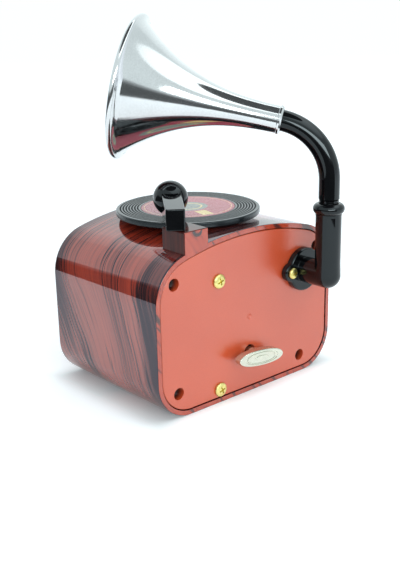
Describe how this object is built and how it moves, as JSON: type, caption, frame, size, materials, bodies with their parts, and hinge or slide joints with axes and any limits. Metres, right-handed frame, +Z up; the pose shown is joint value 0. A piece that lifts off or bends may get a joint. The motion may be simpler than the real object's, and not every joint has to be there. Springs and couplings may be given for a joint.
{
  "type": "gramophone music box",
  "caption": "Small arched music box shaped like a gramophone, with a turning record, swinging tone arm, bent horn on a back elbow and a winding key.",
  "frame": {"origin": "middle of the case's flat underside", "axes": "+Z up, +Y out of the back cover with the key, +X towards the tone arm's side"},
  "size_m": [0.1052, 0.0978, 0.1648],
  "materials": {
    "wood_gloss": "high gloss lacquer over a dark wood grain print",
    "terracotta": "satin metallic paint",
    "gloss_black": "gloss",
    "record_black": "gloss with fine grooves",
    "label_paper": "printed, satin",
    "silver_plate": "polished",
    "nickel": "nickel plate",
    "screw_brass": "bright",
    "movement_brass": "satin",
    "steel": "satin",
    "spring_steel": "blued",
    "cast_zinc": "as cast",
    "white_nylon": "matte"
  },
  "bodies": {
    "case": {"case_shell": "wood_gloss", "back_cover": "terracotta", "case_screw_1": "steel", "case_screw_2": "steel", "case_screw_3": "steel", "case_screw_4": "steel", "movement_screw_1": "screw_brass", "movement_screw_2": "screw_brass", "movement_spacer_1": "white_nylon", "movement_spacer_2": "white_nylon", "horn_elbow": "gloss_black", "elbow_screw_1": "screw_brass", "elbow_screw_2": "screw_brass", "spindle_bush": "movement_brass", "tone_arm_pin": "steel", "click_spring": "spring_steel", "barrel_bridge": "movement_brass", "bedplate": "cast_zinc", "lower_bearing": "movement_brass", "upper_bearing": "movement_brass", "comb": "spring_steel", "comb_screw_1": "steel", "comb_screw_2": "steel", "bearing_screw_1": "steel", "bearing_screw_2": "steel", "bridge_screw_1": "steel", "bridge_screw_2": "steel", "governor_frame": "movement_brass", "governor_screw_1": "steel"},
    "turntable": {"record_disc": "record_black", "record_label": "label_paper", "spindle": "steel", "spindle_gear": "white_nylon"},
    "tone_arm": {"tone_arm": "gloss_black"},
    "horn": {"horn_neck": "gloss_black", "horn_bell": "silver_plate"},
    "key": {"winding_key": "nickel", "winding_arbor": "steel", "ratchet_wheel": "steel"},
    "barrel": {"spring_barrel": "movement_brass", "barrel_lid": "movement_brass", "mainspring": "spring_steel"},
    "cylinder": {"cylinder_arbor": "steel", "cylinder_pinion": "movement_brass", "great_wheel": "movement_brass", "transfer_gear": "white_nylon", "pin_cylinder": "movement_brass"},
    "governor": {"governor_arbor": "steel", "governor_pinion": "movement_brass", "worm_wheel": "white_nylon"},
    "fan": {"worm": "steel", "air_brake_fan": "white_nylon"}
  },
  "joints": [
    {"name": "record_spin", "type": "hinge", "parent": "case", "child": "turntable", "pos_m": [0, -0.003, 0.079], "axis": [0, 0, 1], "continuous": true},
    {"name": "cylinder_spin", "type": "hinge", "parent": "case", "child": "cylinder", "pos_m": [0, 0.0124, 0.048], "axis": [0, 0, 1], "continuous": true},
    {"name": "barrel_spin", "type": "hinge", "parent": "case", "child": "barrel", "pos_m": [0, 0.0228, 0.0189], "axis": [0, 1, 0], "continuous": true},
    {"name": "governor_spin", "type": "hinge", "parent": "case", "child": "governor", "pos_m": [0.0125, 0.0124, 0.0628], "axis": [0, 0, 1], "continuous": true},
    {"name": "fan_spin", "type": "hinge", "parent": "case", "child": "fan", "pos_m": [0.0185, 0.0124, 0.0628], "axis": [0, 1, 0], "continuous": true},
    {"name": "key_turn", "type": "hinge", "parent": "case", "child": "key", "pos_m": [0, 0.042, 0.0189], "axis": [0, 1, 0], "continuous": true},
    {"name": "tone_arm_swing", "type": "hinge", "parent": "case", "child": "tone_arm", "pos_m": [0.0334, 0.0276, 0.0804], "axis": [0, 0, 1], "range_deg": [-12, 50]},
    {"name": "horn_swivel", "type": "hinge", "parent": "case", "child": "horn", "pos_m": [-0.0328, 0.0533, 0.079], "axis": [0, 0, 1], "range_deg": [-45, 45]}
  ],
  "couplings": [
    {"joint": "cylinder_spin", "follows": "record_spin", "ratio": -1},
    {"joint": "barrel_spin", "follows": "record_spin", "ratio": 0.4},
    {"joint": "governor_spin", "follows": "record_spin", "ratio": 4},
    {"joint": "fan_spin", "follows": "record_spin", "ratio": -56}
  ]
}
